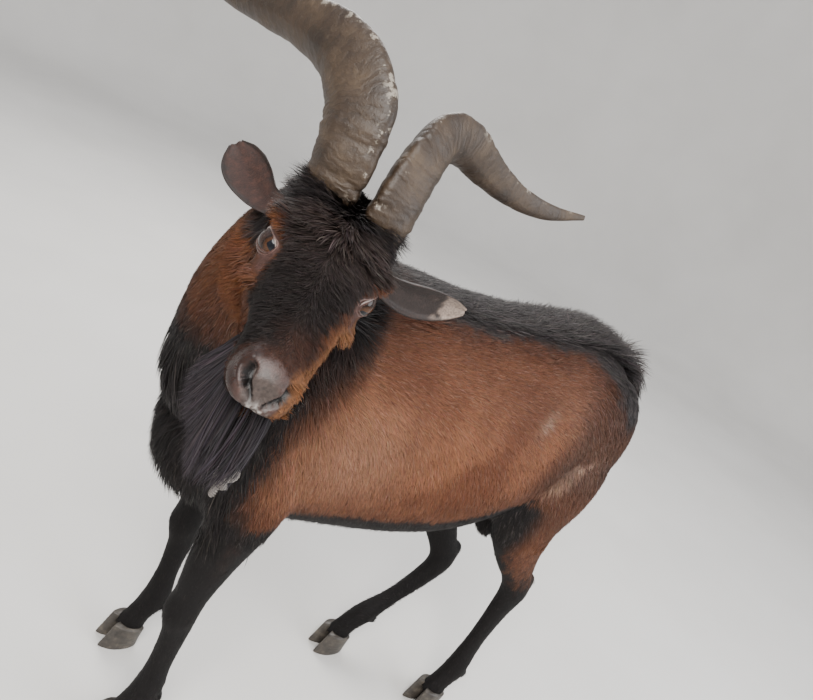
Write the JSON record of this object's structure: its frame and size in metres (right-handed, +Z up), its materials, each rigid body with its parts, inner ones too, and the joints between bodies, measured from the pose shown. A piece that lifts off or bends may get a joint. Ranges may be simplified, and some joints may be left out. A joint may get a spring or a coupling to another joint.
{
  "type": "goat figure",
  "caption": "Life-size still figure of a standing alpine buck goat with swept ringed horns, beard and rope collar, its head turned to its left.",
  "frame": {"origin": "on the floor under the middle of the model's box as seen from above", "axes": "+Z up; the goat's body faces -X and its left side is towards -Y"},
  "size_m": [0.9748, 0.5574, 1.1185],
  "materials": {
    "chamois_coat": "short brown hair",
    "black_coat": "black hair",
    "horn": "ringed grey-brown horn",
    "hoof": "dark hoof",
    "eye": "wet brown eye",
    "rope": "grey twisted rope"
  },
  "bodies": {
    "root": {"claw_foreleg_left_inner": "hoof", "claw_foreleg_left_outer": "hoof", "claw_foreleg_right_inner": "hoof", "claw_foreleg_right_outer": "hoof", "claw_hindleg_left_inner": "hoof", "claw_hindleg_left_outer": "hoof", "claw_hindleg_right_inner": "hoof", "claw_hindleg_right_outer": "hoof", "collar": "rope", "collar_knot": "rope", "ear_left": "black_coat", "ear_right": "black_coat", "eye_left": "eye", "eye_right": "eye", "foreleg_left_lower": "black_coat", "foreleg_left_upper": "chamois_coat", "foreleg_right_lower": "black_coat", "foreleg_right_upper": "chamois_coat", "head": "black_coat", "hindleg_left_lower": "black_coat", "hindleg_left_upper": "chamois_coat", "hindleg_right_lower": "black_coat", "hindleg_right_upper": "chamois_coat", "horn_left": "horn", "horn_right": "horn", "neck": "chamois_coat", "scrotum": "chamois_coat", "tail": "black_coat", "trunk": "chamois_coat"}
  },
  "joints": []
}
